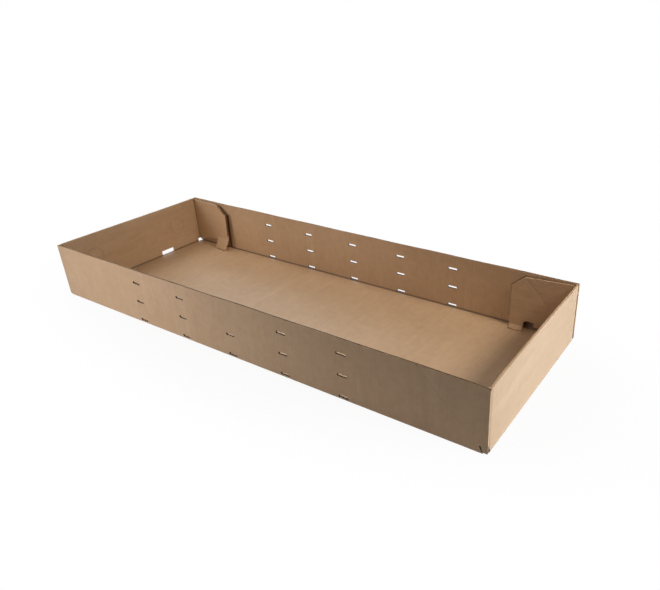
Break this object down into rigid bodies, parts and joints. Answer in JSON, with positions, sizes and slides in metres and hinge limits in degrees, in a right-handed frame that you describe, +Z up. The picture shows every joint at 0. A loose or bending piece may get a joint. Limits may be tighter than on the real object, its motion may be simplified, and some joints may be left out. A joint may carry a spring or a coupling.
{
  "type": "corrugated cardboard tray",
  "caption": "Long, shallow open tray folded from one sheet of corrugated board, with rows of slots through its long walls.",
  "frame": {"origin": "centre of the tray's underside", "axes": "+X along the tray's length, towards the end with creased corners; +Y across it; +Z up"},
  "size_m": [1.2, 0.44, 0.14],
  "materials": {
    "kraft_board": "matt kraft paper liner on corrugated board"
  },
  "bodies": {
    "root": {"folded_tray": "kraft_board"}
  },
  "joints": []
}
